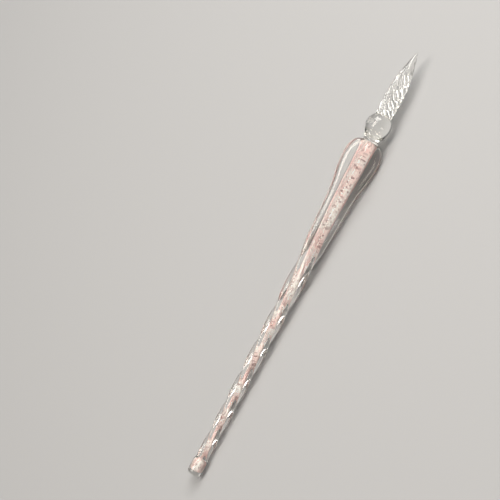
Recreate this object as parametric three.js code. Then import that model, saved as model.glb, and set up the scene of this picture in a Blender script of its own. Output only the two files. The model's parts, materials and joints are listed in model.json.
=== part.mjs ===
// A glass dip pen lying on a table, the fluted nib towards +X and the tail towards -X.
// Millimetres, +Z up, origin under the middle of the pen's box.
//
// The pen is drawn about its own axis first. A station s is the distance from the point of the
// nib along that axis, and a bearing is the angle round it, 0 straight up and growing towards -Y.
// The whole pen is then tipped by its rest tilt, because it lies on two of the four shoulder
// lobes and on the button at its tail.

import * as THREE from 'three';

// Length, and the stations where one piece hands over to the next
const PEN_LENGTH = 175;
const BALL_STATION = 30.6;
const COLLAR_FOOT = 37.25;
const HANDLE_TOP = 37.45;
const SHOULDER_STATION = 45;
const HANDLE_END = 168.2;
const BUTTON_TOP = 168.4;
const PIGMENT_END = 173.8;

// Grip ball, collar and button
const BALL_RADIUS = 4.95;
const COLLAR_RIM_RADIUS = 4.3;
const COLLAR_WAIST_RADIUS = 2.85;
const COLLAR_WAIST_STATION = 36;
const COLLAR_FLARE_STATION = 36.8;
const COLLAR_FLARE_RADIUS = 2.95;
const COLLAR_FOOT_RADIUS = 3.0;
const BUTTON_RADIUS = 2.75;
const BUTTON_NECK_RADIUS = 2.5;
const BUTTON_SIDE_STATION = 170;
const BUTTON_EDGE = 0.7;

// Fluted nib
const FLUTES = 12;
const FLUTE_DEPTH = 0.16;
const FLUTE_FADE_IN = 6;
const NIB_STEPS = 18;
const NIB_CROWDING = 1.5;
const NIB_POINTS_PER_FLUTE = 4;
const NIB_TWIST = 0.2;
const NIB_BASE_STATION = 26;

// Handle: four clear lobes fused round a clear tube with the pigment sealed inside it
const LOBES = ['lobe_front', 'lobe_right', 'lobe_back', 'lobe_left'];
const FIRST_LOBE_BEARING = Math.PI / 4;
const LOBE_SPACING = Math.PI / 2;
const SHOULDER_CREST = 7.2;
const SHOULDER_START_ANGLE = THREE.MathUtils.degToRad(8);
const SHOULDER_STEPS = 8;
const STRAIGHT_STEPS = 8;
const TWISTED_STEPS = 40;
const TWIST_START = 63.5;
const TWIST_RAMP = 40.5;
const TWIST_RATE = 5.7;
const TWIST_GAIN = 0.0125;
const TUBE_WALL = 0.3;
const PIGMENT_CLEARANCE = 0.1;
const FIT_GAP = 0.15;
const SEAT_GAP = 0.15;
const LOBE_EDGE = 0.15;
const LOBE_SIDE_GAP = 0.1;

// The pigment's end, pressed wide inside the button when the tail was melted back
const BULB_STATION = 168.8;
const BULB_RADIUS = 1.7;
const BULB_FLARE = 0.8;
const BULB_EDGE = 0.6;

// Facets
const ROUND_SIDES = 24;
const TUBE_SIDES = 20;
const PIGMENT_SIDES = 16;
const BALL_STEPS = 16;
const TUBE_STEPS = 12;
const FUNNEL_STEPS = 6;
const SEAT_STEPS = 5;
const BUTTON_EDGE_STEPS = 4;
const DISH_SHARES = [1, 0.66, 0.33];
const LOBE_OUTER_STEPS = 8;
const LOBE_INNER_STEPS = 3;

// A smooth curve through hand-placed [station, radius] pairs that never overshoots between them.
function smoothThrough(pairs) {
  const slopes = pairs.slice(1).map(([s, r], i) => (r - pairs[i][1]) / (s - pairs[i][0]));
  const tangents = pairs.map((_, i) => {
    const before = slopes[Math.max(i - 1, 0)];
    const after = slopes[Math.min(i, slopes.length - 1)];
    return before * after > 0 ? 2 * before * after / (before + after) : 0;
  });
  return (s) => {
    const last = pairs.length - 2;
    const next = pairs.findIndex((pair) => pair[0] > s);
    const i = next < 0 ? last : Math.min(Math.max(next - 1, 0), last);
    const width = pairs[i + 1][0] - pairs[i][0];
    const t = THREE.MathUtils.clamp((s - pairs[i][0]) / width, 0, 1);
    const rise = t * t * (3 - 2 * t);
    const leave = t * (1 - t) * (1 - t) * width * tangents[i];
    const arrive = t * t * (t - 1) * width * tangents[i + 1];
    return pairs[i][1] * (1 - rise) + pairs[i + 1][1] * rise + leave + arrive;
  };
}

// Radii along the pen
const nibRadius = smoothThrough([
  [0.2, 0.26], [2.6, 0.95], [6.7, 1.8], [10.8, 2.75], [14.8, 3.3], [19.5, 3.45], [26.5, 3.25],
]);
const taperedCrest = smoothThrough([
  [45, SHOULDER_CREST], [50, 6.7], [58, 5.4], [68, 4.75], [78, 4.4], [95, 3.6], [109, 3.1],
  [125, 2.95], [147, 2.6], [160, 2.45], [168.2, 2.5],
]);
const tubeRadius = smoothThrough([
  [38, 3.35], [50, 3.1], [58, 2.8], [80, 2.15], [100, 1.72], [125, 1.45], [168.2, 1.15],
]);

const boreRadius = (s) => tubeRadius(s) - TUBE_WALL;
const pigmentRadius = (s) => boreRadius(s) - PIGMENT_CLEARANCE;
const valleyRadius = (s) => tubeRadius(s) + FIT_GAP + LOBE_EDGE;
const shoulderReach = (SHOULDER_STATION - HANDLE_TOP) / Math.cos(SHOULDER_START_ANGLE);

// The crest of a lobe rises over a quarter ellipse at the shoulder, then tapers to the tail.
function crestRadius(s) {
  if (s >= SHOULDER_STATION) {
    return taperedCrest(s);
  }
  const across = (SHOULDER_STATION - s) / shoulderReach;
  return valleyRadius(s) + (SHOULDER_CREST - valleyRadius(s)) * Math.sqrt(1 - across * across);
}

// The handle's section is a four-petalled rosette; angle is measured from a lobe's crest.
function rosetteRadius(s, angle) {
  const petal = Math.cos(2 * angle) ** 2;
  return valleyRadius(s) + (crestRadius(s) - valleyRadius(s)) * petal;
}

// The lobes run straight down to the start of the twist, whose rate then grows evenly over the
// ramp and goes on tightening a little towards the tail. The result is in radians.
function handleTwist(s) {
  const ramped = THREE.MathUtils.clamp(s - TWIST_START, 0, TWIST_RAMP);
  const beyond = Math.max(0, s - TWIST_START - TWIST_RAMP);
  const run = ramped * ramped / (2 * TWIST_RAMP) + beyond;
  return THREE.MathUtils.degToRad(TWIST_RATE * run + TWIST_GAIN * run * run);
}

const nibTwist = (s) => THREE.MathUtils.degToRad(NIB_TWIST * s * s);

// Distance from the ball's centre to a seat that hugs the ball, at a radius off the axis
const ballSeat = (radius) => Math.sqrt((BALL_RADIUS + SEAT_GAP) ** 2 - radius * radius);

function evenStations(from, to, steps) {
  return Array.from({ length: steps + 1 }, (_, i) => from + (to - from) * i / steps);
}

const penPoint = (s, radius, bearing) => new THREE.Vector3(
  -s, -radius * Math.sin(bearing), radius * Math.cos(bearing));

// Joins closed rings of equal length, nib end first, and closes both ends with their own
// triangles, given as lists of [a, b, c] into the list of all points.
function solidFromRings(rings, extraPoints, startCap, endCap) {
  const size = rings[0].length;
  const index = [];
  for (let i = 0; i < rings.length - 1; i += 1) {
    for (let j = 0; j < size; j += 1) {
      const a = i * size + j;
      const b = i * size + (j + 1) % size;
      index.push(a, a + size, b + size, a, b + size, b);
    }
  }
  index.push(...startCap.flat(), ...endCap.flat());
  const geometry = new THREE.BufferGeometry().setFromPoints([...rings.flat(), ...extraPoints]);
  geometry.setIndex(index);
  geometry.computeVertexNormals();
  return geometry;
}

// Turns an outline of [station, radius] pairs round the pen's axis.
function turnedSolid(outline, sides) {
  const points = outline.map(([s, radius]) => new THREE.Vector2(radius, s));
  return new THREE.LatheGeometry(points, sides).rotateZ(Math.PI / 2);
}

// Nib: a drawn point with spiral flutes, its base dished to sit on the ball
function nibGeometry() {
  const sides = FLUTES * NIB_POINTS_PER_FLUTE;
  const base = BALL_STATION - ballSeat(nibRadius(NIB_BASE_STATION));
  const fluteRadius = (s, bearing) => {
    const depth = FLUTE_DEPTH * Math.min(1, s / FLUTE_FADE_IN);
    const ridge = Math.abs(Math.cos(FLUTES / 2 * (bearing - nibTwist(s))));
    return nibRadius(s) * (1 - depth * (1 - ridge));
  };
  const bearings = evenStations(0, 2 * Math.PI, sides).slice(0, sides);
  const ringAt = (s) => bearings.map((b) => penPoint(s, fluteRadius(s, b + nibTwist(s)), b + nibTwist(s)));
  const dishAt = (share) => bearings.map((b) => {
    const radius = share * fluteRadius(base, b + nibTwist(base));
    return penPoint(BALL_STATION - ballSeat(radius), radius, b + nibTwist(base));
  });
  const rings = [];
  for (let i = 1; i < NIB_STEPS; i += 1) {
    rings.push(ringAt(base * (i / NIB_STEPS) ** NIB_CROWDING));
  }
  rings.push(...DISH_SHARES.map(dishAt));
  const tip = rings.length * sides;
  const dishMiddle = tip + 1;
  const lastRing = tip - sides;
  const startCap = bearings.map((_, j) => [tip, j, (j + 1) % sides]);
  const endCap = bearings.map((_, j) => [dishMiddle, lastRing + (j + 1) % sides, lastRing + j]);
  const ends = [penPoint(0, 0, 0), penPoint(BALL_STATION - ballSeat(0), 0, 0)];
  return solidFromRings(rings, ends, startCap, endCap);
}

// Grip ball: a round gather of clear glass
function ballGeometry() {
  const outline = evenStations(0, Math.PI, BALL_STEPS).map(
    (a) => [BALL_STATION - BALL_RADIUS * Math.cos(a), BALL_RADIUS * Math.sin(a)]);
  return turnedSolid(outline, ROUND_SIDES);
}

// Collar: a short funnel from the underside of the ball to the top of the handle
function collarGeometry() {
  const seat = evenStations(0, COLLAR_RIM_RADIUS, SEAT_STEPS).map((r) => [BALL_STATION + ballSeat(r), r]);
  const rim = seat[seat.length - 1][0];
  const drop = COLLAR_RIM_RADIUS - COLLAR_WAIST_RADIUS;
  const funnel = evenStations(0, Math.PI, FUNNEL_STEPS).slice(1).map((a) => [
    rim + (COLLAR_WAIST_STATION - rim) * a / Math.PI,
    COLLAR_WAIST_RADIUS + drop * (1 + Math.cos(a)) / 2,
  ]);
  const flare = [COLLAR_FLARE_STATION, COLLAR_FLARE_RADIUS];
  const foot = [flare, [COLLAR_FOOT, COLLAR_FOOT_RADIUS], [COLLAR_FOOT, 0]];
  return turnedSolid([...seat, ...funnel, ...foot], ROUND_SIDES);
}

// Tube: the clear casing that runs the length of the handle round the pigment
function tubeGeometry() {
  const stations = evenStations(HANDLE_TOP, HANDLE_END, TUBE_STEPS);
  const outside = stations.map((s) => [s, tubeRadius(s)]);
  const inside = stations.map((s) => [s, boreRadius(s)]).reverse();
  return turnedSolid([...outside, ...inside, outside[0]], TUBE_SIDES);
}

// Outline of the pigment's bulb from its neck to the axis, grown all over by a clearance
function bulbOutline(clearance) {
  const radius = BULB_RADIUS + clearance;
  const end = PIGMENT_END + clearance;
  return [
    [BULB_STATION - clearance, pigmentRadius(HANDLE_END) + clearance],
    [BULB_STATION + BULB_FLARE - clearance, radius],
    [end - BULB_EDGE, radius],
    [end, radius - BULB_EDGE],
    [end, 0],
  ];
}

// Pigment: the pink speckled core, filling the tube and ending in a bulb inside the button
function pigmentGeometry() {
  const stations = evenStations(HANDLE_TOP, HANDLE_END, TUBE_STEPS);
  const side = stations.map((s) => [s, pigmentRadius(s)]);
  return turnedSolid([[HANDLE_TOP, 0], ...side, ...bulbOutline(0)], PIGMENT_SIDES);
}

// One lobe: a petal of clear glass that hugs the tube and twists round it with its neighbours
function lobeGeometry(bearing) {
  const shoulder = evenStations(SHOULDER_START_ANGLE, Math.PI / 2, SHOULDER_STEPS).map(
    (a) => SHOULDER_STATION - shoulderReach * Math.cos(a));
  const stations = [
    ...shoulder,
    ...evenStations(SHOULDER_STATION, TWIST_START, STRAIGHT_STEPS).slice(1),
    ...evenStations(TWIST_START, HANDLE_END, TWISTED_STEPS).slice(1),
  ];
  const petalAt = (s) => {
    const halfAngle = LOBE_SPACING / 2 - Math.atan(LOBE_SIDE_GAP / valleyRadius(s));
    const outer = evenStations(-halfAngle, halfAngle, LOBE_OUTER_STEPS).map(
      (a) => [rosetteRadius(s, a), a]);
    const inner = evenStations(halfAngle, -halfAngle, LOBE_INNER_STEPS).map(
      (a) => [tubeRadius(s) + FIT_GAP, a]);
    return [...outer, ...inner];
  };
  const rings = stations.map((s) => petalAt(s).map(
    ([radius, angle]) => penPoint(s, radius, bearing + handleTwist(s) + angle)));
  const size = rings[0].length;
  const capAt = (s) => THREE.ShapeUtils.triangulateShape(
    petalAt(s).map(([r, a]) => new THREE.Vector2(r * Math.cos(a), r * Math.sin(a))), []);
  const lastRing = (rings.length - 1) * size;
  const startCap = capAt(stations[0]);
  const endCap = capAt(HANDLE_END).map(([a, b, c]) => [lastRing + a, lastRing + c, lastRing + b]);
  return solidFromRings(rings, [], startCap, endCap);
}

// Button: the tail, fused shut over the pigment's bulb, with a flat end and a soft edge
function buttonGeometry() {
  const edgeStation = PEN_LENGTH - BUTTON_EDGE;
  const edge = evenStations(0, Math.PI / 2, BUTTON_EDGE_STEPS).map((a) => [
    edgeStation + BUTTON_EDGE * Math.sin(a),
    BUTTON_RADIUS - BUTTON_EDGE * (1 - Math.cos(a)),
  ]);
  const socket = bulbOutline(SEAT_GAP).reverse();
  const mouth = [BUTTON_TOP, pigmentRadius(HANDLE_END) + SEAT_GAP];
  const side = [[BUTTON_TOP, BUTTON_NECK_RADIUS], [BUTTON_SIDE_STATION, BUTTON_RADIUS]];
  return turnedSolid([mouth, ...side, ...edge, [PEN_LENGTH, 0], ...socket, mouth], ROUND_SIDES);
}

// Rest tilt: the slope of the line that touches the underside of the two lower shoulder lobes
// and the tail end of the button's straight side
function restTilt() {
  const contactStation = PEN_LENGTH - BUTTON_EDGE;
  const angles = evenStations(0, LOBE_SPACING / 2, 90);
  const slopes = evenStations(SHOULDER_STATION - 4, SHOULDER_STATION + 12, 160).map((s) => {
    const drops = angles.map((a) => rosetteRadius(s, a) * Math.cos(LOBE_SPACING / 2 - a));
    return (Math.max(...drops) - BUTTON_RADIUS) / (contactStation - s);
  });
  return Math.atan(Math.max(...slopes));
}

function clearGlass() {
  return new THREE.MeshStandardMaterial({
    color: 0xdde6e1, roughness: 0.05, metalness: 0, transparent: true, opacity: 0.4,
  });
}

function pinkPigment() {
  return new THREE.MeshStandardMaterial({ color: 0xe2bdb8, roughness: 0.55, metalness: 0.05 });
}

function piece(name, geometry, material) {
  const mesh = new THREE.Mesh(geometry, material);
  mesh.name = name;
  return mesh;
}

const pen = new THREE.Group();
pen.add(piece('nib', nibGeometry(), clearGlass()));
pen.add(piece('grip_ball', ballGeometry(), clearGlass()));
pen.add(piece('neck_collar', collarGeometry(), clearGlass()));
pen.add(piece('core_tube', tubeGeometry(), clearGlass()));
pen.add(piece('pigment_core', pigmentGeometry(), pinkPigment()));
LOBES.forEach((name, i) => {
  pen.add(piece(name, lobeGeometry(FIRST_LOBE_BEARING + i * LOBE_SPACING), clearGlass()));
});
pen.add(piece('tail_button', buttonGeometry(), clearGlass()));
pen.rotation.y = -restTilt();

// Lay the tipped pen on z = 0, with the middle of its box over the origin.
const group = new THREE.Group();
group.add(pen);
const box = new THREE.Box3().setFromObject(group, true);
const middle = box.getCenter(new THREE.Vector3());
pen.position.set(-middle.x, -middle.y, -box.min.z);

export default group;
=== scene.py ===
# %% [markdown]
# # A glass dip pen, drawn from rods of glass
#
# The real pen is made at a lamp. Clear borosilicate rod is fluted and twisted into a nib, a
# gather of glass becomes the grip ball, and four clear rods are fused along a cased pink core,
# then twisted while they are soft. Nothing on it is flat or machined: every surface was molten
# once, so it is shiny, slightly wavy and clear all the way through.
#
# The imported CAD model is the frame. It says where each piece is and how big it is, and each
# piece here is a finer surface for the CAD solid it replaces.

import json
import math

import bpy
import numpy as np
from mathutils import Matrix, Vector


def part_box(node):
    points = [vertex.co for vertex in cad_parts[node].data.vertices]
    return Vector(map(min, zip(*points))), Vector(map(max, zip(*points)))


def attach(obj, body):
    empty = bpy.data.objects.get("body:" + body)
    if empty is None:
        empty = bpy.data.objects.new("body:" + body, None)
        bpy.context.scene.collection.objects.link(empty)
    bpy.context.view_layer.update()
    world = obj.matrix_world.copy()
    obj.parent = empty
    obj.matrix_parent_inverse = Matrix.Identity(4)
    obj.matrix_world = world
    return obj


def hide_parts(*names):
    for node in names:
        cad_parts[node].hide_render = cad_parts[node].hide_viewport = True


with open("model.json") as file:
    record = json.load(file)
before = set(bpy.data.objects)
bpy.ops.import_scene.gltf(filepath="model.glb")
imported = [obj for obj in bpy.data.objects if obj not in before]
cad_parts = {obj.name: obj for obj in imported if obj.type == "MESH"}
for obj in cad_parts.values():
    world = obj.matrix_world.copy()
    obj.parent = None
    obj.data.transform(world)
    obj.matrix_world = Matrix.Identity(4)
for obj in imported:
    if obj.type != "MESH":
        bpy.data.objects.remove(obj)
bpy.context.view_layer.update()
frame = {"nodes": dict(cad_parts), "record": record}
print("CAD nodes:", ", ".join(sorted(frame["nodes"])))

# %% [markdown]
# ## The pen's own axis
#
# The pen lies on two of its shoulder lobes and its tail, so its axis isn't level. It is easiest
# to think along the pen instead: a **station** is the distance in millimetres from the point of
# the nib, and a **bearing** is the angle round the axis, 0 at the top and growing towards the
# near side. The flat face of the tail, a mount in the record, gives the axis exactly. Each CAD
# node is then measured along it, so that the finer pieces start and end where the CAD's do.

# %% Axis, stations and bearings
MM = 0.001
tail_face = next(m for m in frame["record"]["mounts"] if m["name"] == "tail_end")
tail_end = Vector(tail_face["pos_m"])
nibward = -Vector(tail_face["axis"]).normalized()
near = Vector((0, -1, 0))
up = near.cross(nibward)
nib_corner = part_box("nib")[1]
pen_length = (nib_corner.x - tail_end.x) / nibward.x / MM


def on_axis(station):
    """The point of the pen's axis at a station."""
    return tail_end + nibward * (pen_length - station) * MM


def stations_and_radii(node):
    """The station and the radius of each vertex of a CAD node, in millimetres."""
    reach = np.array([v.co for v in frame["nodes"][node].data.vertices]) - np.array(on_axis(0))
    along = reach @ -np.array(nibward)
    across = np.linalg.norm(reach + np.outer(along, nibward), axis=1)
    return along / MM, across / MM


sizes = {}
for node in frame["nodes"]:
    along, across = stations_and_radii(node)
    sizes[node] = along.min(), along.max(), across.max()
for node, (first, last, radius) in sorted(sizes.items(), key=lambda item: item[1][0]):
    print(f"{node}: station {first:.2f} to {last:.2f} mm, radius {radius:.2f} mm")


# %% [markdown]
# ## The camera
#
# A pen is best shown square to its length, so that it isn't foreshortened. One
# shoulder lobe faces the lens, which puts the camera halfway between level and overhead. The
# camera is rolled so that the nib points up and to the right, and it is made first so that the
# lights can be placed by what it sees.

# %% Camera
LENS = 85
SENSOR = 36
PICTURE_WIDTH = 183.4
NIB_SLANT = math.radians(62)
AIM_LEFT = 20.4
AIM_UP = 4.87

toward_lens = (up + near).normalized()
nib_right = nibward.cross(toward_lens)
picture_x = math.cos(NIB_SLANT) * nibward + math.sin(NIB_SLANT) * nib_right
picture_y = math.sin(NIB_SLANT) * nibward - math.cos(NIB_SLANT) * nib_right
pen_middle = on_axis(pen_length / 2)
aim = pen_middle + (AIM_UP * picture_y - AIM_LEFT * picture_x) * MM

camera = bpy.data.objects.new("camera", bpy.data.cameras.new("camera"))
camera.data.lens = LENS
camera.data.sensor_width = SENSOR
camera.data.clip_start = 0.01
distance = PICTURE_WIDTH * MM * LENS / SENSOR
axes = Matrix((picture_x, picture_y, toward_lens)).transposed().to_4x4()
camera.matrix_world = Matrix.Translation(aim + toward_lens * distance) @ axes
bpy.context.scene.collection.objects.link(camera)
bpy.context.scene.camera = camera
print(f"camera {distance:.3f} m from the pen")

# %% [markdown]
# ## Small helpers for nodes
#
# Geometry Nodes and materials are both node trees. One function adds a node, sets its
# properties and fills its sockets, either with a value or with a link from another node. A
# colour is written as it looks on a screen, and a second function turns it into the linear
# light that a shader works in.

# %% Node helper and colours
def add(tree, kind, inputs=None, **settings):
    """Adds a node. inputs maps a socket's name or number to a value, a socket or a node.

    A node stands for its first output.
    """
    node = tree.nodes.new(kind)
    for name, value in settings.items():
        setattr(node, name, value)
    for name, value in (inputs or {}).items():
        if isinstance(value, bpy.types.Node):
            value = value.outputs[0]
        if isinstance(value, bpy.types.NodeSocket):
            tree.links.new(value, node.inputs[name])
        else:
            node.inputs[name].default_value = value
    return node


def linear(hex_colour):
    """An sRGB hex colour as the linear RGBA that a shader takes."""
    channels = [int(hex_colour[i:i + 2], 16) / 255 for i in (1, 3, 5)]
    return [c / 12.92 if c <= 0.04045 else ((c + 0.055) / 1.055) ** 2.4 for c in channels] + [1]


print(f"a surface of #808080 gives back {linear('#808080')[0]:.2f} of its light")

# %% [markdown]
# ## Clear borosilicate glass
#
# Lamp workers use borosilicate, refractive index 1.47, because it survives the flame. Its
# surface was never ground, so it is as smooth as a liquid's, with faint cords drawn out along
# the rod, which only show as a ripple in the highlights. A thick piece takes a slight grey-green
# tint from its depth. That is a volume absorption: a surface colour would tint a thin edge as
# much as the middle of the ball. The surface colour stays almost white, because light crosses so
# many skins in the twist that any tint there is multiplied again and again.

# %% Glass material
BOROSILICATE_IOR = 1.47
CORD_WIDTH = 1.2
CORD_DEPTH = 0.002
CORD_STRETCH = 0.12
TINT_PER_METRE = 11


def borosilicate_glass(name, cord_depth):
    """Clear glass with cords of a depth in millimetres."""
    material = bpy.data.materials.new(name)
    material.use_nodes = True
    tree = material.node_tree
    shader = tree.nodes["Principled BSDF"]
    shader.inputs["Base Color"].default_value = linear("#FEFDFB")
    shader.inputs["Transmission Weight"].default_value = 1
    shader.inputs["IOR"].default_value = BOROSILICATE_IOR
    shader.inputs["Roughness"].default_value = 0.01
    place = add(tree, "ShaderNodeTexCoord")
    stretched = add(tree, "ShaderNodeMapping", {
        0: place.outputs["Object"], "Scale": (CORD_STRETCH, 1, 1)})
    cords = add(tree, "ShaderNodeTexNoise", {
        "Vector": stretched, "Scale": 1 / (CORD_WIDTH * MM), "Detail": 1})
    bump = add(tree, "ShaderNodeBump", {
        "Height": cords.outputs["Fac"], "Strength": 1, "Distance": cord_depth * MM})
    tree.links.new(bump.outputs[0], shader.inputs["Normal"])
    depth = add(tree, "ShaderNodeVolumeAbsorption", {
        "Color": linear("#D6DED6"), "Density": TINT_PER_METRE})
    tree.links.new(depth.outputs[0], tree.nodes["Material Output"].inputs["Volume"])
    return material


clear_glass = borosilicate_glass("lampworked_borosilicate", CORD_DEPTH)
nib_glass = borosilicate_glass("drawn_nib_borosilicate", CORD_DEPTH / 4)
print("glass:", clear_glass.name, "and", nib_glass.name)

# %% [markdown]
# ## One tree for every drawn piece
#
# Every solid of the pen is a rod whose outline changes along its axis: a ball is a rod that
# swells and closes, a nib is one with twelve ridges, and the handle is one with four. So one
# Geometry Nodes tree makes them all, with named inputs that let it serve each piece. It sweeps a
# circle along a line of stations, then pushes each point out to its own radius. The sweep keeps
# two things for that: the centre that each point belongs to, and how far round the circle it is.

# %% Start a tree
def new_tree(name, sockets):
    """A Geometry Nodes tree with named inputs and one geometry output."""
    tree = bpy.data.node_groups.new(name, "GeometryNodeTree")
    for socket, kind in sockets.items():
        tree.interface.new_socket(socket, in_out="INPUT", socket_type="NodeSocket" + kind)
    tree.interface.new_socket("Geometry", in_out="OUTPUT", socket_type="NodeSocketGeometry")
    return tree, tree.nodes.new("NodeGroupInput").outputs


# %% Sweep a circle along the stations
def swept_circle(tree, given):
    """The swept skin, with each point's centre and its turn round the circle, 0 to 1."""
    line = add(tree, "GeometryNodeMeshToCurve", {"Mesh": given["Stations"]})
    position = add(tree, "GeometryNodeInputPosition")
    keep_centre = add(tree, "GeometryNodeCaptureAttribute", {"Geometry": line}, domain="POINT")
    keep_centre.capture_items.new("VECTOR", "Centre")
    tree.links.new(position.outputs[0], keep_centre.inputs["Centre"])
    circle = add(tree, "GeometryNodeCurvePrimitiveCircle", {
        "Resolution": given["Points around"], "Radius": MM})
    along_circle = add(tree, "GeometryNodeSplineParameter")
    keep_turn = add(tree, "GeometryNodeCaptureAttribute", {"Geometry": circle}, domain="POINT")
    keep_turn.capture_items.new("FLOAT", "Turn")
    tree.links.new(along_circle.outputs["Factor"], keep_turn.inputs["Turn"])
    skin = add(tree, "GeometryNodeCurveToMesh", {
        "Curve": keep_centre, "Profile Curve": keep_turn, "Fill Caps": True})
    return skin, keep_centre.outputs["Centre"], keep_turn.outputs["Turn"]


# %% [markdown]
# ## A radius and a place for each point
#
# The line carries three numbers at each station: the radius over a crest, the radius in a
# valley, and the twist. Round the circle, a cosine goes from crest to valley and back once for
# each petal, and a power makes its ridges rounder or sharper. Molten glass is never quite true,
# so a slow noise then moves each point in or out by a few hundredths of a millimetre.

# %% The radius over petals
def petalled_radius(tree, given, angle):
    """The radius at an angle from the first crest."""
    crest = add(tree, "GeometryNodeInputNamedAttribute", {"Name": "crest"})
    valley = add(tree, "GeometryNodeInputNamedAttribute", {"Name": "valley"})
    turns = add(tree, "ShaderNodeMath", {0: angle, 1: given["Petals"]}, operation="MULTIPLY")
    half_turns = add(tree, "ShaderNodeMath", {0: turns, 1: 0.5}, operation="MULTIPLY")
    swing = add(tree, "ShaderNodeMath", {0: half_turns}, operation="COSINE")
    arch = add(tree, "ShaderNodeMath", {0: swing}, operation="ABSOLUTE")
    ridge = add(tree, "ShaderNodeMath", {0: arch, 1: given["Ridge power"]}, operation="POWER")
    height = add(tree, "ShaderNodeMath", {0: crest, 1: valley}, operation="SUBTRACT")
    return add(tree, "ShaderNodeMath", {0: height, 1: ridge, 2: valley}, operation="MULTIPLY_ADD")


# %% Directions away from the axis
def outward_direction(tree, given, bearing):
    """The direction away from the axis at a bearing."""
    rise = add(tree, "ShaderNodeMath", {0: bearing}, operation="COSINE")
    side = add(tree, "ShaderNodeMath", {0: bearing}, operation="SINE")
    up_part = add(tree, "ShaderNodeVectorMath", {0: given["Up"], "Scale": rise}, operation="SCALE")
    near_part = add(tree, "ShaderNodeVectorMath", {0: given["Near"], "Scale": side},
                    operation="SCALE")
    return add(tree, "ShaderNodeVectorMath", {0: up_part, 1: near_part}, operation="ADD")


def pushed_out(tree, place, outward, reach):
    """A place moved by a reach along a direction."""
    push = add(tree, "ShaderNodeVectorMath", {0: outward, "Scale": reach}, operation="SCALE")
    return add(tree, "ShaderNodeVectorMath", {0: place, 1: push}, operation="ADD")


# %% A place for each point
def wavy_place(tree, given, centre, turn):
    """Each point's place on the twisted, petalled and slightly wavy skin."""
    twist = add(tree, "GeometryNodeInputNamedAttribute", {"Name": "twist"})
    angle = add(tree, "ShaderNodeMath", {0: turn, 1: 2 * math.pi}, operation="MULTIPLY")
    bearing = add(tree, "ShaderNodeMath", {0: angle, 1: twist}, operation="ADD")
    outward = outward_direction(tree, given, bearing)
    smooth_place = pushed_out(tree, centre, outward, petalled_radius(tree, given, angle))
    scale = add(tree, "ShaderNodeMath", {0: 1, 1: given["Wave size"]}, operation="DIVIDE")
    wave = add(tree, "ShaderNodeTexNoise", {"Vector": smooth_place, "Scale": scale, "Detail": 0})
    offset = add(tree, "ShaderNodeMath", {0: wave.outputs["Fac"], 1: 0.5}, operation="SUBTRACT")
    swell = add(tree, "ShaderNodeMath", {0: offset, 1: given["Waviness"]}, operation="MULTIPLY")
    return pushed_out(tree, smooth_place, outward, swell)


# %% [markdown]
# ## Shading the skin
#
# The skin is shaded smooth, except along real edges, where two faces meet at more than a set
# angle. Smoothing over an edge would bend light there that a true edge doesn't bend, and clear
# glass would show that.

# %% Smooth shading with real edges
def smooth_but_for_edges(tree, mesh, edge_angle):
    smooth = add(tree, "GeometryNodeSetShadeSmooth", {"Geometry": mesh})
    bend = add(tree, "GeometryNodeInputMeshEdgeAngle").outputs["Unsigned Angle"]
    is_edge = add(tree, "FunctionNodeCompare", {0: bend, 1: edge_angle},
                  data_type="FLOAT", operation="GREATER_THAN")
    return add(tree, "GeometryNodeSetShadeSmooth", {
        "Geometry": smooth, "Selection": is_edge, "Shade Smooth": False}, domain="EDGE")


# %% The drawn rod tree
def drawn_rod_tree():
    tree, given = new_tree("drawn rod", {
        "Stations": "Geometry", "Petals": "Int", "Ridge power": "Float", "Points around": "Int",
        "Waviness": "Float", "Wave size": "Float", "Up": "Vector", "Near": "Vector",
        "Edge angle": "Float", "Glass": "Material",
    })
    skin, centre, turn = swept_circle(tree, given)
    place = wavy_place(tree, given, centre, turn)
    shaped = add(tree, "GeometryNodeSetPosition", {"Geometry": skin, "Position": place})
    facing_out = add(tree, "GeometryNodeFlipFaces", {"Mesh": shaped})
    crisp = smooth_but_for_edges(tree, facing_out, given["Edge angle"])
    real = add(tree, "GeometryNodeRealizeInstances", {"Geometry": crisp})
    finished = add(tree, "GeometryNodeSetMaterial", {
        "Geometry": real, "Material": given["Glass"]})
    add(tree, "NodeGroupOutput", {"Geometry": finished})
    return tree


drawn_rod = drawn_rod_tree()
print("drawn rod tree:", len(drawn_rod.nodes), "nodes")

# %% [markdown]
# ## Running a tree and keeping its mesh
#
# A modifier's input is set by its socket's identifier. The evaluated result is then copied into
# a plain mesh, so that the finished piece carries no modifier, and named for the piece.

# %% Run a tree on a base mesh
def grown(name, base, tree, **inputs):
    """The mesh that a tree grows from a base object, as a new plain object."""
    modifier = base.modifiers.new("grow", "NODES")
    modifier.node_group = tree
    named = {s.name: s.identifier for s in tree.interface.items_tree if s.in_out == "INPUT"}
    for label, value in inputs.items():
        modifier[named[label.replace("_", " ")]] = value
    evaluated = base.evaluated_get(bpy.context.evaluated_depsgraph_get())
    mesh = bpy.data.meshes.new_from_object(evaluated)
    base.modifiers.remove(modifier)
    mesh.name = name
    piece = bpy.data.objects.new(name, mesh)
    bpy.context.scene.collection.objects.link(piece)
    return piece


# %% [markdown]
# ## Drawing a rod from rows
#
# A piece is a list of rows: a station, the radius over a crest, the radius in a valley and the
# twist. Lamp work is true to a few hundredths of a millimetre, over swells about as long as the
# rod is thick. Faces that meet at more than 50 degrees are taken to be a real edge.

# %% Draw a rod
WAVINESS = 0.03
WAVE_SIZE = 6
EDGE_ANGLE = math.radians(50)
POINTS_AROUND = 128


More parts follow.
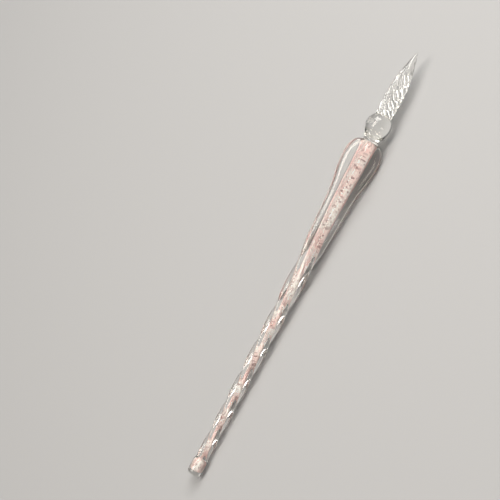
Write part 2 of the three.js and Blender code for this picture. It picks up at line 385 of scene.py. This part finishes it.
def drawn(name, stations, petals=0, ridge_power=1.0, around=POINTS_AROUND, waviness=WAVINESS,
          wave_size=WAVE_SIZE, glass=clear_glass):
    """A rod drawn through (station, crest, valley, twist) rows, in millimetres and radians."""
    line = bpy.data.meshes.new(name + "_line")
    edges = [(i, i + 1) for i in range(len(stations) - 1)]
    line.from_pydata([on_axis(row[0]) for row in stations], edges, [])
    for column, (label, unit) in enumerate((("crest", MM), ("valley", MM), ("twist", 1)), 1):
        values = [row[column] * unit for row in stations]
        line.attributes.new(label, "FLOAT", "POINT").data.foreach_set("value", values)
    base = bpy.data.objects.new(name + "_line", line)
    bpy.context.scene.collection.objects.link(base)
    piece = grown(name, base, drawn_rod, Petals=petals, Ridge_power=ridge_power,
                  Points_around=around, Waviness=waviness * MM, Wave_size=wave_size * MM,
                  Up=up, Near=near, Edge_angle=EDGE_ANGLE, Glass=glass)
    bpy.data.objects.remove(base)
    print(f"{name}: {len(piece.data.polygons)} faces")
    return piece


# %% [markdown]
# ## Round outlines
#
# The ball, the collar and the button are round all the way, so an outline of stations and radii
# says all there is to say about them.

# %% Rows of a round outline
def arc(centre, radius, start, end, steps):
    """Rows of a round outline: start and end are angles from the nib end, in degrees."""
    angles = np.radians(np.linspace(start, end, steps))
    return [(centre - radius * math.cos(a), radius * math.sin(a)) for a in angles]


def turned(outline):
    """An outline of (station, radius) pairs as station rows with no ridges and no twist."""
    return [(s, r, r, 0) for s, r in outline]


# %% [markdown]
# ## The grip ball
#
# The ball is a gather of glass that surface tension pulled round in the flame. A perfect UV
# sphere would look like a bearing, so it is drawn like the rest, with a waviness of a few
# hundredths of a millimetre that makes the highlights swim as they do on blown glass. It is
# drawn a hair inside the CAD's ball, so that its swells stay within the measured size.

# %% Grip ball
POLE = 0.02
SKIN_DEPTH = 0.03
BALL_ROWS = 97
ball_first, ball_last, ball_radius = sizes["grip_ball"]
ball_centre = (ball_first + ball_last) / 2
pole_angle = math.degrees(POLE / ball_radius)
grip_ball = drawn(
    "grip_ball_glass",
    turned(arc(ball_centre, ball_radius - SKIN_DEPTH, pole_angle, 180 - pole_angle, BALL_ROWS)))
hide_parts("grip_ball")

# %% [markdown]
# ## Hot seats
#
# The real pieces are fused, so light crosses from one to the next without a sign. Two closed
# shells with a gap between them would show a mirror there. Instead each neighbour's end is
# dished to follow the ball's surface a few hundredths inside it: two parallel skins so close
# together undo each other's bending, and the joint all but disappears. The dish is only more
# rows of stations, worked out from the ball's circle, that run back into the piece.

# %% Seats that follow the ball
SEAT_DEPTH = 0.06
DISH_STEPS = 24


def ball_seat(radius):
    """How far along the axis the seat is from the ball's centre, at a radius."""
    return math.sqrt((ball_radius - SEAT_DEPTH) ** 2 - radius * radius)


def dish(rim_radius, side):
    """The seat's outline from its rim to the axis; side is -1 for the nib, 1 for the collar."""
    radii = np.linspace(rim_radius, POLE, DISH_STEPS)
    return [(ball_centre + side * ball_seat(r), r) for r in radii]


print(f"the seats lie {SEAT_DEPTH - SKIN_DEPTH:.2f} mm under the ball's skin")

# %% [markdown]
# ## Radii along the pen
#
# A rod drawn in a flame tapers smoothly, so a few listed radii joined by a curve that
# never overshoots say all there is to say.

# %% A smooth curve through a few radii
def smooth_through(pairs):
    """A function of station through [station, radius] pairs, rising and falling only with them."""
    at = [p[0] for p in pairs]
    radii = [p[1] for p in pairs]
    slopes = [(radii[i + 1] - radii[i]) / (at[i + 1] - at[i]) for i in range(len(at) - 1)]
    tangents = []
    for i in range(len(at)):
        before = slopes[max(i - 1, 0)]
        after = slopes[min(i, len(slopes) - 1)]
        tangents.append(2 * before * after / (before + after) if before * after > 0 else 0)

    def value(station):
        i = min(max(np.searchsorted(at, station, side="right") - 1, 0), len(at) - 2)
        width = at[i + 1] - at[i]
        t = min(max((station - at[i]) / width, 0), 1)
        rise = t * t * (3 - 2 * t)
        leave = t * (1 - t) ** 2 * width * tangents[i]
        arrive = t * t * (t - 1) * width * tangents[i + 1]
        return radii[i] * (1 - rise) + radii[i + 1] * rise + leave + arrive

    return value


# %% [markdown]
# ## The nib
#
# The nib starts as a rod with twelve ridges. Twisted and drawn out in the flame, its grooves
# wind down to the point and carry the ink. The ridges are round and the grooves between them
# sharp, which is a cosine's absolute value. Towards the point they fade out slowly, because the
# glass runs together as it is drawn thin.

# %% Nib outline
FLUTES = 12
FLUTE_DEPTH = 0.17
FLUTE_FADE_IN = 11
FLUTE_FADE_POWER = 1.5
FLUTE_FADE_OUT = 0.8
NIB_TWIST = 0.2
NIB_ROWS = 150
POINTS_PER_FLUTE = 16
NIB_BASE_RADIUS = 3.25
TIP_RADIUS = 0.26
nib_radius = smooth_through([
    [0.2, TIP_RADIUS], [2.6, 0.95], [6.7, 1.95], [10.8, 2.85], [14.8, 3.32], [19.5, 3.43],
    [26.5, NIB_BASE_RADIUS],
])
nib_base = ball_centre - ball_seat(NIB_BASE_RADIUS)


def nib_row(station):
    fade_in = (station / FLUTE_FADE_IN) ** FLUTE_FADE_POWER
    fade_out = (nib_base - station) / FLUTE_FADE_OUT
    crest = nib_radius(station)
    valley = crest * (1 - FLUTE_DEPTH * min(1, fade_in, fade_out))
    return station, crest, valley, math.radians(NIB_TWIST * station ** 2)


print(f"the nib's base is at station {nib_base:.2f} mm")

# %% Nib glass
tip = turned(arc(TIP_RADIUS, TIP_RADIUS, 5, 70, 6))
fluted = [nib_row(s) for s in np.linspace(TIP_RADIUS, nib_base, NIB_ROWS)]
base_twist = fluted[-1][3]
base = [(s, r, r, base_twist) for s, r in dish(NIB_BASE_RADIUS, -1)[1:]]
nib = drawn("nib_glass", tip + fluted + base, petals=FLUTES,
            around=FLUTES * POINTS_PER_FLUTE, glass=nib_glass)
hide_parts("nib")

# %% [markdown]
# ## The neck collar
#
# Between ball and handle the glass was pulled to a waist. It is a short funnel: wide where it
# takes the ball, narrow at the waist, and flared again where it flows into the shoulder. The
# CAD leaves a gap of 0.2 mm there, which stands for the fused joint, and the foot is drawn
# halfway across it.

# %% Collar outline
COLLAR_RIM_RADIUS = 4.3
COLLAR_WAIST_STATION = 36
COLLAR_WAIST_RADIUS = 2.9
COLLAR_FLARE_STATION = 36.6
COLLAR_FLARE_RADIUS = 2.95
COLLAR_FOOT_RADIUS = 3.6
FUNNEL_ROWS = 60
CLOSING_ROWS = 6
HALF_GAP = 0.1
collar_foot = sizes["neck_collar"][1]
rim_station = ball_centre + ball_seat(COLLAR_RIM_RADIUS)
collar_radius = smooth_through([
    [rim_station, COLLAR_RIM_RADIUS], [rim_station + 1, 3.95], [rim_station + 1.8, 3.6],
    [COLLAR_WAIST_STATION, COLLAR_WAIST_RADIUS], [COLLAR_FLARE_STATION, COLLAR_FLARE_RADIUS],
    [collar_foot + HALF_GAP, COLLAR_FOOT_RADIUS],
])


def closing_face(station, radius):
    """Rows that close a flat end, from its rim to the axis."""
    shares = [1 - i / CLOSING_ROWS for i in range(1, CLOSING_ROWS + 1)]
    return [(station, radius * share + POLE) for share in shares]


# %% Collar glass
cup = dish(COLLAR_RIM_RADIUS, 1)[::-1]
funnel_stations = np.linspace(rim_station, collar_foot + HALF_GAP, FUNNEL_ROWS)
funnel = [(s, collar_radius(s)) for s in funnel_stations[1:]]
foot = closing_face(collar_foot + HALF_GAP, COLLAR_FOOT_RADIUS)
collar = drawn("neck_collar_glass", turned(cup + funnel + foot))
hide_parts("neck_collar")

# %% [markdown]
# ## The handle
#
# Four clear rods were laid along the cased core and fused, so the section is a rosette of four
# petals. At the shoulder the petals stand straight and tall, like fins; further down they were
# twisted left-handed, slowly at first and tighter towards the tail. The whole of it is one
# piece of clear glass, and making it one closed skin is what lets light bend through it properly.

# %% Handle radii
SHOULDER_STATION = 45
SHOULDER_CREST = 7.15
PETAL_WALL = 0.3
handle_first, handle_last, _ = sizes["lobe_front"]
tube_radius = smooth_through([
    [38, 3.35], [50, 3.1], [58, 2.8], [80, 2.15], [100, 1.72], [125, 1.45], [168.2, 1.15],
])
tapered_crest = smooth_through([
    [SHOULDER_STATION, SHOULDER_CREST], [50, 6.65], [58, 5.35], [68, 4.7], [78, 4.35],
    [95, 3.57], [109, 3.07], [125, 2.92], [147, 2.57], [160, 2.42], [168.2, 2.47],
])


def valley_radius(station):
    return tube_radius(station) + PETAL_WALL


def crest_radius(station):
    if station >= SHOULDER_STATION:
        return tapered_crest(station)
    across = (SHOULDER_STATION - station) / (SHOULDER_STATION - handle_first)
    rise = math.sqrt(max(0, 1 - across ** 2))
    return valley_radius(station) + (SHOULDER_CREST - valley_radius(station)) * rise


# %% [markdown]
# ## The twist
#
# The first lobe stands 45 degrees from the top. The twist starts some way below the shoulder,
# and its rate, in degrees for each millimetre, grows evenly over a ramp. After that it only
# creeps up, because a thinner rod is softer and turns more easily.

# %% Handle twist
LOBE_BEARING = 45
TWIST_START = 63.5
TWIST_RAMP = 40.5
TWIST_RATE = 5.7
TWIST_GAIN = 0.0125


def handle_twist(station):
    ramped = min(max(station - TWIST_START, 0), TWIST_RAMP)
    run = ramped ** 2 / (2 * TWIST_RAMP) + max(0, station - TWIST_START - TWIST_RAMP)
    return math.radians(LOBE_BEARING + TWIST_RATE * run + TWIST_GAIN * run ** 2)


turns = math.degrees(handle_twist(handle_last) - handle_twist(handle_first)) / 360
print(f"the petals make {turns:.2f} turns")

# %% [markdown]
# ## One skin for tube and petals
#
# A squared cosine gives petals that are as round in the valleys as on the crests, like rods that
# have run together. The shoulder's rows crowd together at its top end, where the petals rise
# steeply, and the shaft's are close enough for the tightest part of the twist.

# %% Handle glass
PETALS = 4
RIDGE_POWER = 2
SHOULDER_ROWS = 40
SHAFT_ROWS = 420
POINTS_AROUND_HANDLE = 160


def handle_row(station):
    return station, crest_radius(station), valley_radius(station), handle_twist(station)


shoulder_stations = [
    SHOULDER_STATION - (SHOULDER_STATION - handle_first) * math.cos(math.radians(a))
    for a in np.linspace(0, 90, SHOULDER_ROWS)]
shaft_stations = np.linspace(SHOULDER_STATION, handle_last + HALF_GAP, SHAFT_ROWS)[1:]
handle = drawn("handle_glass", [handle_row(s) for s in [*shoulder_stations, *shaft_stations]],
               petals=PETALS, ridge_power=RIDGE_POWER, around=POINTS_AROUND_HANDLE)
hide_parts("lobe_front", "lobe_right", "lobe_back", "lobe_left", "core_tube")

# %% [markdown]
# ## The tail button
#
# The end was melted back into a small button and pressed flat, so its edge is soft and it
# stands a little proud of the twist. The handle is drawn halfway across the CAD's gap, and the
# button's neck reaches back over the rest of it, so the two overlap by a hair.

# %% Button outline
BUTTON_EDGE = 0.9
BUTTON_NECK_RADIUS = 2.35
BUTTON_RISE = 1.6
NECK_OVERLAP = 0.15
ROW_GAP = 0.001
EDGE_CLEARANCE = 0.1
WALL_ROWS = 30
EDGE_ROWS = 14
EDGE_TURN = 86
NECK_ROWS = 5
button_first, button_last, cad_radius = sizes["tail_button"]
button_radius = cad_radius - SKIN_DEPTH
neck_outline = smooth_through([
    [button_first, BUTTON_NECK_RADIUS], [button_first + BUTTON_RISE, button_radius],
    [button_last, button_radius],
])
print(f"the button is {2 * button_radius:.2f} mm wide")

# %% Button glass
edge = [(button_last - BUTTON_EDGE * (1 - math.sin(a)),
         button_radius - BUTTON_EDGE * (1 - math.cos(a)))
        for a in np.radians(np.linspace(0, EDGE_TURN, EDGE_ROWS))]
neck_top = button_first - NECK_OVERLAP
top = [(neck_top, BUTTON_NECK_RADIUS * i / NECK_ROWS + POLE) for i in range(NECK_ROWS)]
wall_stations = np.linspace(neck_top + ROW_GAP, edge[0][0] - EDGE_CLEARANCE, WALL_ROWS)
wall = [(s, neck_outline(s)) for s in wall_stations]
flat = closing_face(button_last, button_radius - BUTTON_EDGE)
button = drawn("tail_button_glass", turned(top + wall + edge + flat))
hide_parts("tail_button")

# %% [markdown]
# ## The pink core
#
# Inside the handle is a rod of pink frit: crushed coloured glass, rolled on hot and cased. Seen
# close, it is a pale cream-pink ground with soft rosy patches and finer, darker grains a
# fraction of a millimetre across. The grains are a cell pattern, because crushed glass has
# flat-sided bits, and the patches are a slow noise. Both are drawn out along the rod, as the
# frit was when the rod was pulled. Real grit is about 0.1 mm; it is drawn coarser here, so that
# it shows at the size of the whole pen. The colours are paler than they should look, because
# a coloured surface cased in glass looks darker, as a wet stone does. Its gloss is turned
# almost off: with glass fused to it and no air between, it has nothing to mirror with.

# %% Pink frit material
GRAIN_SIZE = 0.2
PATCH_SIZE = 1.8
DRAWN_OUT = 0.3
GRAIN_STRENGTH = 0.85
GRAIN_RELIEF = 0.03


def pink_frit():
    material = bpy.data.materials.new("pink_frit")
    material.use_nodes = True
    tree = material.node_tree
    shader = tree.nodes["Principled BSDF"]
    shader.inputs["Roughness"].default_value = 0.6
    shader.inputs["Specular IOR Level"].default_value = 0.1
    coordinates = add(tree, "ShaderNodeTexCoord").outputs["Object"]
    place = add(tree, "ShaderNodeMapping", {0: coordinates, "Scale": (DRAWN_OUT, 1, 1)})
    patches = add(tree, "ShaderNodeTexNoise", {
        "Vector": place, "Scale": 1 / (PATCH_SIZE * MM), "Detail": 2})
    ground = add(tree, "ShaderNodeValToRGB", {"Fac": patches.outputs["Fac"]})
    ground.color_ramp.elements[0].position = 0.35
    ground.color_ramp.elements[0].color = linear("#FBD8D1")
    ground.color_ramp.elements[1].position = 0.65
    ground.color_ramp.elements[1].color = linear("#FFFBF5")
    grains = add(tree, "ShaderNodeTexVoronoi", {"Vector": place, "Scale": 1 / (GRAIN_SIZE * MM)})
    tone = add(tree, "ShaderNodeValToRGB", {"Fac": grains.outputs["Color"]})
    tone.color_ramp.elements[0].position = 0.1
    tone.color_ramp.elements[0].color = linear("#9C7A76")
    tone.color_ramp.elements[1].position = 0.42
    tone.color_ramp.elements[1].color = linear("#FFFFFF")
    mixed = add(tree, "ShaderNodeMix", data_type="RGBA", blend_type="MULTIPLY")
    mixed.inputs[0].default_value = GRAIN_STRENGTH
    tree.links.new(ground.outputs[0], mixed.inputs[6])
    tree.links.new(tone.outputs[0], mixed.inputs[7])
    tree.links.new(mixed.outputs[2], shader.inputs["Base Color"])
    bump = add(tree, "ShaderNodeBump", {
        "Height": grains.outputs["Distance"], "Strength": 0.15, "Distance": GRAIN_RELIEF * MM})
    tree.links.new(bump.outputs[0], shader.inputs["Normal"])
    return material


frit = pink_frit()
print("core:", frit.name)

# %% [markdown]
# ## The core's outline
#
# The core fills the bore of its casing, so it tapers with it. Both ends were pinched off in the
# flame and are round. In the button the frit was squeezed out to a short bulb, and the CAD's
# core, measured beyond the station where it starts, gives its radius.

# %% Core outline
CORE_WALL = 0.4
CORE_DOME = 0.8
BULB_STATION = 168.8
BULB_FLARE = 0.9
core_first, core_last, _ = sizes["pigment_core"]
along, across = stations_and_radii("pigment_core")
bulb_radius = across[along > BULB_STATION].max()
print(f"bulb radius {bulb_radius:.2f} mm")


def core_radius(station):
    """The casing's bore, swelling to the bulb in the button, with a round dome at each end."""
    bore = tube_radius(min(station, BULB_STATION)) - CORE_WALL
    swelling = min(1, max(0, station - BULB_STATION) / BULB_FLARE)
    width = bore + (bulb_radius - bore) * swelling ** 2 * (3 - 2 * swelling)
    share = min(1, min(station - core_first, core_last - station) / CORE_DOME)
    return max(POLE, width * math.sqrt(max(0, share * (2 - share))))


# %% Pigment core
CORE_WAVINESS = 0.04
CORE_WAVE_SIZE = 2
CORE_ROWS = 400
ROWS_IN_DOME = 4
DOME_ROWS = 12
POINTS_AROUND_CORE = 64
dome = CORE_DOME * (1 - np.cos(np.linspace(0, math.pi / 2, DOME_ROWS)))
between = np.linspace(core_first, core_last, CORE_ROWS)[ROWS_IN_DOME:-ROWS_IN_DOME]
core_stations = [*(core_first + dome), *between, *(core_last - dome[::-1])]
core = drawn("pigment_core_frit", turned([(s, core_radius(s)) for s in core_stations]),
             around=POINTS_AROUND_CORE, waviness=CORE_WAVINESS, wave_size=CORE_WAVE_SIZE,
             glass=frit)
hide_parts("pigment_core")

# %% [markdown]
# ## Mica flakes
#
# Flecks of mica were rolled on with the frit, and they are what sparkles when the pen is turned.
# Each is a thin six-sided plate lying almost flat on the core. There are hundreds, so Geometry
# Nodes scatter them: points spread over the core with a fixed seed, one plate set on each,
# turned to the surface and then tipped a little at random. The plates are drawn larger than
# most real flakes, so that they glint at the size of the whole pen. Mica splits into thin clear
# scales that mirror only part of the light, so its metallic value is low and its gloss soft, and
# a pink tint here and there stands for the frit that shows through it.

# %% Mica material
MICA_PATCH = 1.5


def mica():
    material = bpy.data.materials.new("silver_mica")
    material.use_nodes = True
    tree = material.node_tree
    shader = tree.nodes["Principled BSDF"]
    shader.inputs["Metallic"].default_value = 0.3
    shader.inputs["Roughness"].default_value = 0.3
    place = add(tree, "ShaderNodeTexCoord").outputs["Object"]
    tints = add(tree, "ShaderNodeTexNoise", {"Vector": place, "Scale": 1 / (MICA_PATCH * MM)})
    tint = add(tree, "ShaderNodeValToRGB", {"Fac": tints.outputs["Fac"]})
    tint.color_ramp.elements[0].position = 0.4
    tint.color_ramp.elements[0].color = linear("#E9D2CE")
    tint.color_ramp.elements[1].position = 0.6
    tint.color_ramp.elements[1].color = linear("#FFFBF4")
    tree.links.new(tint.outputs[0], shader.inputs["Base Color"])
    return material


# %% The flake tree
PLATE_SIDES = 6
SMALLEST = 0.5
LARGEST = 1.2


def flake_tree():
    tree, given = new_tree("mica flakes", {
        "Core": "Geometry", "Density": "Float", "Flake radius": "Float",
        "Flake thickness": "Float", "Tip": "Float", "Seed": "Int", "Mica": "Material"})
    spread = add(tree, "GeometryNodeDistributePointsOnFaces", {
        "Mesh": given["Core"], "Density": given["Density"], "Seed": given["Seed"]})
    plate = add(tree, "GeometryNodeMeshCylinder", {
        "Vertices": PLATE_SIDES, "Radius": given["Flake radius"], "Depth": given["Flake thickness"]})
    least = add(tree, "ShaderNodeVectorMath", {0: (-1, -1, -3), "Scale": given["Tip"]},
                operation="SCALE")
    most = add(tree, "ShaderNodeVectorMath", {0: (1, 1, 3), "Scale": given["Tip"]},
               operation="SCALE")
    tip = add(tree, "FunctionNodeRandomValue", {
        "Min": least, "Max": most, "Seed": given["Seed"]}, data_type="FLOAT_VECTOR")
    size = add(tree, "FunctionNodeRandomValue", {2: SMALLEST, 3: LARGEST, "Seed": given["Seed"]},
               data_type="FLOAT")
    tipped = add(tree, "FunctionNodeRotateRotation", {
        0: spread.outputs["Rotation"], 1: tip}, rotation_space="LOCAL")
    set_down = add(tree, "GeometryNodeInstanceOnPoints", {
        "Points": spread.outputs["Points"], "Instance": plate.outputs["Mesh"],
        "Rotation": tipped, "Scale": size.outputs[1]})
    real = add(tree, "GeometryNodeRealizeInstances", {"Geometry": set_down})
    finished = add(tree, "GeometryNodeSetMaterial", {
        "Geometry": real, "Material": given["Mica"]})
    add(tree, "NodeGroupOutput", {"Geometry": finished})
    return tree


# %% Mica flakes
FLAKES_PER_SQUARE_METRE = 7e5
FLAKE_RADIUS = 0.09
FLAKE_THICKNESS = 0.04
FLAKE_TIP = 0.25
FLAKE_SEED = 7
PLATE_FACES = PLATE_SIDES + 2
flakes = grown("mica_flakes", core, flake_tree(), Density=FLAKES_PER_SQUARE_METRE,
               Flake_radius=FLAKE_RADIUS * MM, Flake_thickness=FLAKE_THICKNESS * MM,
               Tip=FLAKE_TIP, Seed=FLAKE_SEED, Mica=mica())
print("mica flakes:", len(flakes.data.polygons) // PLATE_FACES)

# %% [markdown]
# ## Riding
#
# The pen is one rigid body, so every piece rides on it.

# %% Ride on the body
for piece in (nib, grip_ball, collar, handle, button):
    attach(piece, "root")
for piece in (core, flakes):
    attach(piece, "root")


# %% [markdown]
# ## The floor
#
# Clear glass has no colour of its own: it shows what it bends and what it mirrors. A plain pale
# floor of matt paper shows through it everywhere. Its own grey is only a middling one, because
# the lights that bring out the pink core brighten the floor as well.

# %% Floor
def seamless_paper():
    material = bpy.data.materials.new("seamless_paper")
    material.use_nodes = True
    shader = material.node_tree.nodes["Principled BSDF"]
    shader.inputs["Base Color"].default_value = linear("#979797")
    shader.inputs["Roughness"].default_value = 0.8
    return material


FLOOR_WIDTH = 6
half = FLOOR_WIDTH / 2
floor_mesh = bpy.data.meshes.new("floor")
corners = [(-half, -half, 0), (half, -half, 0), (half, half, 0), (-half, half, 0)]
floor_mesh.from_pydata(corners, [], [(0, 1, 2, 3)])
floor_mesh.materials.append(seamless_paper())
floor = bpy.data.objects.new("floor", floor_mesh)
bpy.context.scene.collection.objects.link(floor)
print(f"floor {FLOOR_WIDTH} m across")

# %% [markdown]
# ## The lights
#
# Glass shows a light as its mirror image, so long soft boxes give long clean highlights and a
# bare lamp would give dots. The window light lies beyond the nib, the overhead light to the
# left of the pen, and a weak fill low on the right keeps the shaded flank from going grey.

# %% Lights
def softbox(name, right, above, front, width, height, watts, colour):
    """A softbox placed by the picture's own directions, in metres from the pen's middle."""
    light = bpy.data.lights.new(name, "AREA")
    light.shape = "RECTANGLE"
    light.size = width
    light.size_y = height
    light.energy = watts
    light.color = linear(colour)[:3]
    lamp = bpy.data.objects.new(name, light)
    offset = right * picture_x + above * picture_y + front * toward_lens
    lamp.location = pen_middle + offset
    lamp.rotation_euler = (-offset).to_track_quat("-Z", "Y").to_euler()
    bpy.context.scene.collection.objects.link(lamp)
    print(f"{name}: {watts} W, {offset.length:.2f} m from the pen")


softbox("window_light", -0.06, 0.8, 0.4, 0.6, 0.5, 9, "#FFFDFA")
softbox("overhead_light", -0.55, 0.3, 0.62, 0.35, 0.9, 8.4, "#FFF8F0")
softbox("low_fill", 0.35, -0.3, 0.6, 0.2, 0.5, 1.3, "#FFF9F4")

# %% [markdown]
# ## The room
#
# What no softbox covers, the glass mirrors from the room. It is dim near the horizon and paler
# overhead, which draws the dark lines along the edges of clear glass.

# %% Room
ROOM_STRENGTH = 0.45
world = bpy.data.worlds.new("room")
world.use_nodes = True
room = world.node_tree
direction = add(room, "ShaderNodeTexCoord").outputs["Generated"]
height = add(room, "ShaderNodeSeparateXYZ", {0: direction}).outputs["Z"]
ceiling = add(room, "ShaderNodeValToRGB", {"Fac": height})
ceiling.color_ramp.elements[0].position = 0.05
ceiling.color_ramp.elements[0].color = linear("#85868A")
ceiling.color_ramp.elements[1].position = 0.8
ceiling.color_ramp.elements[1].color = linear("#E8E8E6")
background = room.nodes["Background"]
room.links.new(ceiling.outputs[0], background.inputs["Color"])
background.inputs["Strength"].default_value = ROOM_STRENGTH
bpy.context.scene.world = world
print(f"room light at {ROOM_STRENGTH} of full strength")

# %% [markdown]
# ## Light paths and colour
#
# Light crosses many skins on its way through petals, casing and back, and a path that is cut
# short is black, so it may be bent 24 times. The standard view keeps pale glass as pale as it is.

# %% Light paths and colour
SKINS_CROSSED = 24
MIRRORINGS = 8
scene = bpy.context.scene
scene.cycles.max_bounces = SKINS_CROSSED
scene.cycles.transmission_bounces = SKINS_CROSSED
scene.cycles.glossy_bounces = MIRRORINGS
scene.view_settings.view_transform = "Standard"
print("bounces:", scene.cycles.max_bounces)
